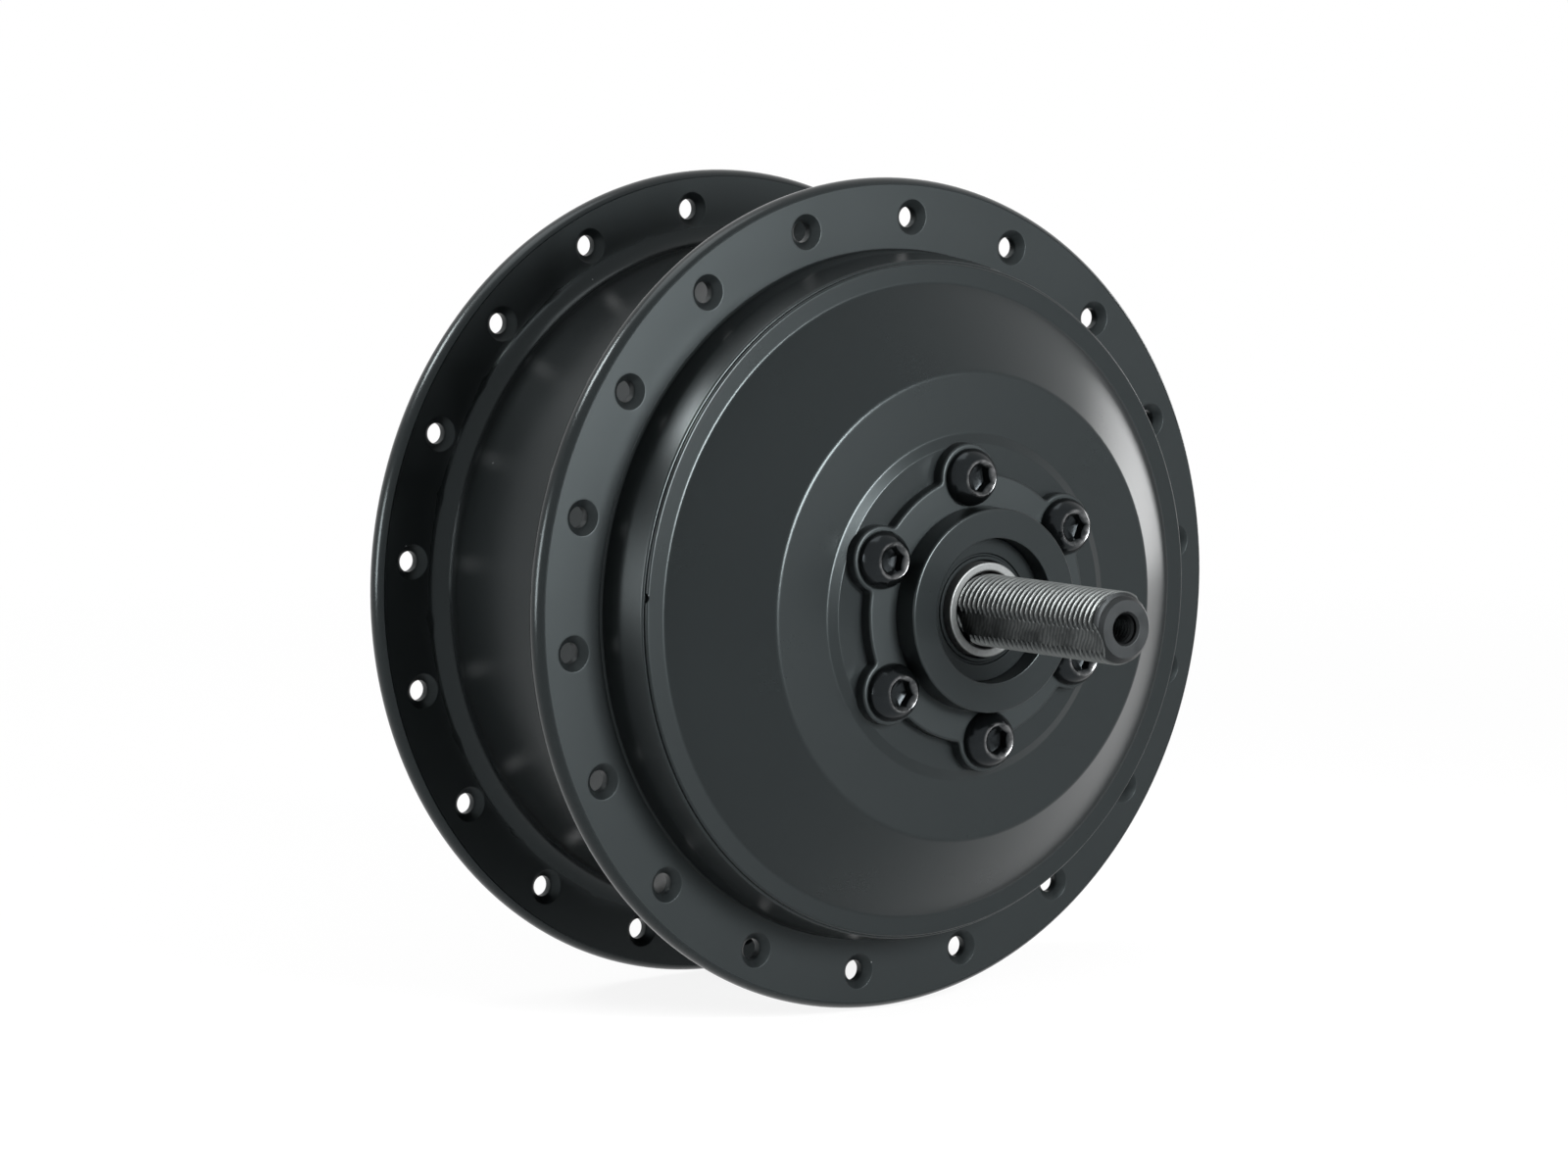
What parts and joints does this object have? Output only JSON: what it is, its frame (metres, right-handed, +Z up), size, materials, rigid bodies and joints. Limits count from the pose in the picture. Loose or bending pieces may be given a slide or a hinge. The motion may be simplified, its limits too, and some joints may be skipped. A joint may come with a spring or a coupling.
{
  "type": "bicycle hub motor",
  "caption": "Geared hub motor for a bicycle's rear wheel: spoked flanged shell, domed disc brake side, threaded freewheel side and a fixed axle.",
  "frame": {"origin": "middle of the axle, halfway between the frame's dropouts, in the wheel's centre plane", "axes": "Y along the axle with the brake disc side at -Y and the freewheel side at +Y, Z up; on a bicycle -X is forward and -Y its left side"},
  "size_m": [0.1408, 0.1812, 0.1408],
  "materials": {
    "black_powder_coat": "satin powder coat, fine even texture",
    "dark_axle_steel": "hardened steel, thread lightly oiled",
    "black_screw_steel": "glossy black oxide",
    "bright_steel": "ground bearing steel",
    "black_rubber": "matt rubber",
    "cast_aluminium": "as cast and machined",
    "lamination_steel": "stacked electrical steel",
    "copper_wire": "enamelled copper wire",
    "circuit_board": "green lacquer",
    "white_nylon": "moulded nylon",
    "bearing_bronze": "sintered bronze",
    "gear_steel": "cut steel with a film of grease",
    "magnet_nickel": "nickel plate"
  },
  "bodies": {
    "fixed_axle": {"axle": "dark_axle_steel", "spacer_sleeve": "bright_steel", "cable_grommet": "black_rubber", "stator_hub": "cast_aluminium", "stator_key": "bright_steel", "stator_core": "lamination_steel", "stator_coils": "copper_wire", "hall_sensor_board": "circuit_board", "planet_carrier": "cast_aluminium", "planet_pins": "bright_steel", "clutch_inner_race": "bright_steel", "clutch_rollers": "bright_steel", "clutch_retaining_ring": "gear_steel", "thrust_washer": "bearing_bronze", "disc_bearing_inner_race": "bright_steel", "gear_bearing_inner_race": "bright_steel", "rotor_bearing_inner_race": "bright_steel"},
    "hub": {"hub_shell": "black_powder_coat", "disc_side_cover": "black_powder_coat", "cover_o_ring": "black_rubber", "ring_gear": "gear_steel", "disc_screws": "black_screw_steel", "disc_side_seal": "black_rubber", "gear_side_seal": "black_rubber", "disc_bearing_outer_race": "bright_steel", "gear_bearing_outer_race": "bright_steel"},
    "rotor": {"rotor_can": "gear_steel", "rotor_magnets": "magnet_nickel", "sun_gear": "gear_steel", "sun_bush": "bearing_bronze", "sun_screws": "black_screw_steel", "rotor_bearing_outer_race": "bright_steel"},
    "planet_1": {"planet_gear_1": "white_nylon", "planet_bush_1": "bearing_bronze"},
    "planet_2": {"planet_gear_2": "white_nylon", "planet_bush_2": "bearing_bronze"},
    "planet_3": {"planet_gear_3": "white_nylon", "planet_bush_3": "bearing_bronze"},
    "disc_bearing_set": {"disc_bearing_balls": "bright_steel", "disc_bearing_cage": "bearing_bronze"},
    "gear_bearing_set": {"gear_bearing_balls": "bright_steel", "gear_bearing_cage": "bearing_bronze"},
    "rotor_bearing_set": {"rotor_bearing_balls": "bright_steel", "rotor_bearing_cage": "bearing_bronze"}
  },
  "joints": [
    {"name": "hub_spin", "type": "hinge", "parent": "fixed_axle", "child": "hub", "pos_m": [0, 0, 0], "axis": [0, -1, 0], "continuous": true},
    {"name": "rotor_spin", "type": "hinge", "parent": "fixed_axle", "child": "rotor", "pos_m": [0, 0, 0], "axis": [0, -1, 0], "continuous": true},
    {"name": "planet_1_spin", "type": "hinge", "parent": "fixed_axle", "child": "planet_1", "pos_m": [0, -0.0237, 0.0285], "axis": [0, -1, 0], "continuous": true},
    {"name": "planet_2_spin", "type": "hinge", "parent": "fixed_axle", "child": "planet_2", "pos_m": [-0.02468, -0.0237, -0.01425], "axis": [0, -1, 0], "continuous": true},
    {"name": "planet_3_spin", "type": "hinge", "parent": "fixed_axle", "child": "planet_3", "pos_m": [0.02468, -0.0237, -0.01425], "axis": [0, -1, 0], "continuous": true},
    {"name": "disc_bearing_cage_spin", "type": "hinge", "parent": "fixed_axle", "child": "disc_bearing_set", "pos_m": [0, -0.0446, 0], "axis": [0, -1, 0], "continuous": true},
    {"name": "gear_bearing_cage_spin", "type": "hinge", "parent": "fixed_axle", "child": "gear_bearing_set", "pos_m": [0, 0.038, 0], "axis": [0, -1, 0], "continuous": true},
    {"name": "rotor_bearing_cage_spin", "type": "hinge", "parent": "fixed_axle", "child": "rotor_bearing_set", "pos_m": [0, -0.0103, 0], "axis": [0, -1, 0], "continuous": true}
  ],
  "couplings": [
    {"joint": "rotor_spin", "follows": "hub_spin", "ratio": -4.7},
    {"joint": "planet_1_spin", "follows": "hub_spin", "ratio": 2.5405},
    {"joint": "planet_2_spin", "follows": "hub_spin", "ratio": 2.5405},
    {"joint": "planet_3_spin", "follows": "hub_spin", "ratio": 2.5405},
    {"joint": "disc_bearing_cage_spin", "follows": "hub_spin", "ratio": 0.6175},
    {"joint": "gear_bearing_cage_spin", "follows": "hub_spin", "ratio": 0.5907},
    {"joint": "rotor_bearing_cage_spin", "follows": "hub_spin", "ratio": -2.9022}
  ]
}
